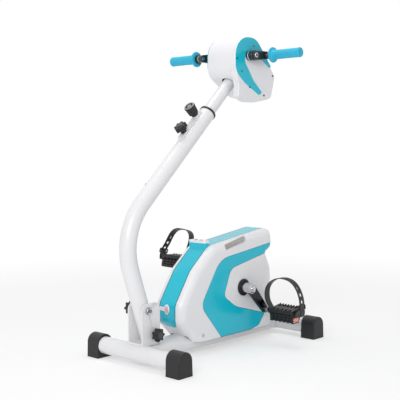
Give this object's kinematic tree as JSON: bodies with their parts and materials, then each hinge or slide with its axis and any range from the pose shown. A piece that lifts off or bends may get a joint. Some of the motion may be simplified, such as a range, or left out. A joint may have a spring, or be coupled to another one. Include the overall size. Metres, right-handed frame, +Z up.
{
  "type": "active passive trainer",
  "caption": "Pedal and hand-crank exerciser for arms and legs: floor frame, moulded leg drive housing, folding bent column, height-adjustable mast and motor head with grips.",
  "frame": {"origin": "on the floor, under the middle of the whole object's box", "axes": "+X towards the seated user, +Z up, -Y the user's left"},
  "size_m": [0.7164, 0.4946, 0.99],
  "materials": {
    "frame_paint": "semi-gloss white powder coat",
    "inner_steel": "plated",
    "black_plastic": "fine grain",
    "white_shell": "gloss moulding",
    "teal_shell": "gloss moulding",
    "grey_plastic": "matt",
    "red_plastic": "gloss",
    "chrome": "bright plate",
    "black_metal": "black enamel",
    "grip_foam": "soft foam",
    "belt_rubber": "ribbed belt",
    "motor_steel": "satin",
    "bearing_steel": "ground",
    "pulley_plastic": "moulded",
    "board_green": "solder mask",
    "reflector_orange": "prismatic",
    "strap_black": "moulded strap"
  },
  "bodies": {
    "frame": {"front_stabiliser": "frame_paint", "rear_stabiliser": "frame_paint", "main_beam": "frame_paint", "column_bracket": "frame_paint", "front_left_cap": "black_plastic", "front_right_cap": "black_plastic", "rear_left_cap": "black_plastic", "rear_right_cap": "black_plastic", "left_shell": "white_shell", "right_shell": "white_shell", "spine_cover": "teal_shell", "left_side_panel": "teal_shell", "right_side_panel": "teal_shell", "control_box": "teal_shell", "control_lid": "white_shell", "power_bezel": "white_shell", "shell_screws": "inner_steel", "drive_frame": "frame_paint", "crank_bearings": "bearing_steel", "bearing_covers": "black_plastic", "leg_motor": "motor_steel", "leg_belt": "belt_rubber", "control_board": "board_green", "pivot_bolt": "inner_steel"},
    "rocker": {"power_rocker": "red_plastic"},
    "start_button": {"start_button": "grey_plastic"},
    "mode_button": {"mode_button": "grey_plastic"},
    "leg_crank": {"crank_axle": "inner_steel", "crank_pulley": "pulley_plastic", "left_crank": "chrome", "right_crank": "chrome", "pedal_spindles": "inner_steel"},
    "leg_motor_shaft": {"leg_motor_pulley": "inner_steel"},
    "left_pedal": {"left_pedal": "black_plastic", "left_pedal_strap": "strap_black", "left_reflector": "reflector_orange"},
    "right_pedal": {"right_pedal": "black_plastic", "right_pedal_strap": "strap_black", "right_reflector": "reflector_orange"},
    "pivot_knob": {"pivot_knob": "black_plastic"},
    "lock_knob": {"lock_knob": "black_plastic"},
    "column": {"column_tube": "frame_paint", "column_bush": "black_plastic"},
    "height_knob": {"height_knob": "black_plastic"},
    "pull_pin": {"pull_pin": "black_plastic"},
    "mast": {"mast_tube": "frame_paint", "head_drum": "white_shell", "left_head_cover": "white_shell", "right_head_cover": "white_shell", "left_head_panel": "teal_shell", "right_head_panel": "teal_shell", "head_screws": "black_metal", "arm_motor": "motor_steel", "arm_bearings": "bearing_steel"},
    "arm_crank": {"arm_shaft": "inner_steel", "left_arm_crank": "black_metal", "right_arm_crank": "black_metal", "handle_pins": "inner_steel"},
    "left_handle": {"left_grip": "grip_foam"},
    "right_handle": {"right_grip": "grip_foam"}
  },
  "joints": [
    {"name": "column_fold", "type": "hinge", "parent": "frame", "child": "column", "pos_m": [-0.2843, 0, 0.16411], "axis": [0, -1, 0], "range_deg": [0, 100]},
    {"name": "mast_height", "type": "slide", "parent": "column", "child": "mast", "axis": [0.7254, 0, 0.6884], "range_m": [0, 0.09]},
    {"name": "arm_crank_turn", "type": "hinge", "parent": "mast", "child": "arm_crank", "pos_m": [0.14106, 0, 0.93002], "axis": [0, 1, 0], "continuous": true},
    {"name": "left_handle_turn", "type": "hinge", "parent": "arm_crank", "child": "left_handle", "pos_m": [0.21193, -0.155, 0.93435], "axis": [0, 1, 0], "continuous": true},
    {"name": "right_handle_turn", "type": "hinge", "parent": "arm_crank", "child": "right_handle", "pos_m": [0.0702, 0.155, 0.92568], "axis": [0, 1, 0], "continuous": true},
    {"name": "leg_crank_turn", "type": "hinge", "parent": "frame", "child": "leg_crank", "pos_m": [0.10788, 0, 0.186], "axis": [0, 1, 0], "continuous": true},
    {"name": "leg_motor_turn", "type": "hinge", "parent": "frame", "child": "leg_motor_shaft", "pos_m": [-0.04112, 0, 0.198], "axis": [0, 1, 0], "continuous": true},
    {"name": "left_pedal_turn", "type": "hinge", "parent": "leg_crank", "child": "left_pedal", "pos_m": [0.17747, -0.176, 0.10871], "axis": [0, 1, 0], "continuous": true},
    {"name": "right_pedal_turn", "type": "hinge", "parent": "leg_crank", "child": "right_pedal", "pos_m": [0.03829, 0.176, 0.26329], "axis": [0, 1, 0], "continuous": true},
    {"name": "pivot_knob_turn", "type": "hinge", "parent": "frame", "child": "pivot_knob", "pos_m": [-0.2843, 0.045, 0.16411], "axis": [0, 1, 0], "range_deg": [0, 720]},
    {"name": "lock_knob_turn", "type": "hinge", "parent": "frame", "child": "lock_knob", "pos_m": [-0.26012, -0.045, 0.091], "axis": [0, 1, 0], "range_deg": [0, 720]},
    {"name": "height_knob_turn", "type": "hinge", "parent": "column", "child": "height_knob", "pos_m": [-0.07603, 0, 0.66486], "axis": [-0.6884, 0, 0.7254], "range_deg": [0, 720]},
    {"name": "pull_pin_pull", "type": "slide", "parent": "column", "child": "pull_pin", "axis": [-0.6884, 0, 0.7254], "range_m": [0, 0.008], "stiffness_N_per_m": 900, "springref_m": -0.006},
    {"name": "rocker_tip", "type": "hinge", "parent": "frame", "child": "rocker", "pos_m": [-0.17912, 0, 0.148], "axis": [0, 1, 0], "range_deg": [-7, 7]},
    {"name": "start_button_press", "type": "slide", "parent": "frame", "child": "start_button", "axis": [0, 0, -1], "range_m": [0, 0.0015], "stiffness_N_per_m": 400, "springref_m": -0.001},
    {"name": "mode_button_press", "type": "slide", "parent": "frame", "child": "mode_button", "axis": [0, 0, -1], "range_m": [0, 0.0015], "stiffness_N_per_m": 400, "springref_m": -0.001}
  ],
  "couplings": [
    {"joint": "leg_motor_turn", "follows": "leg_crank_turn", "ratio": 4.375}
  ]
}
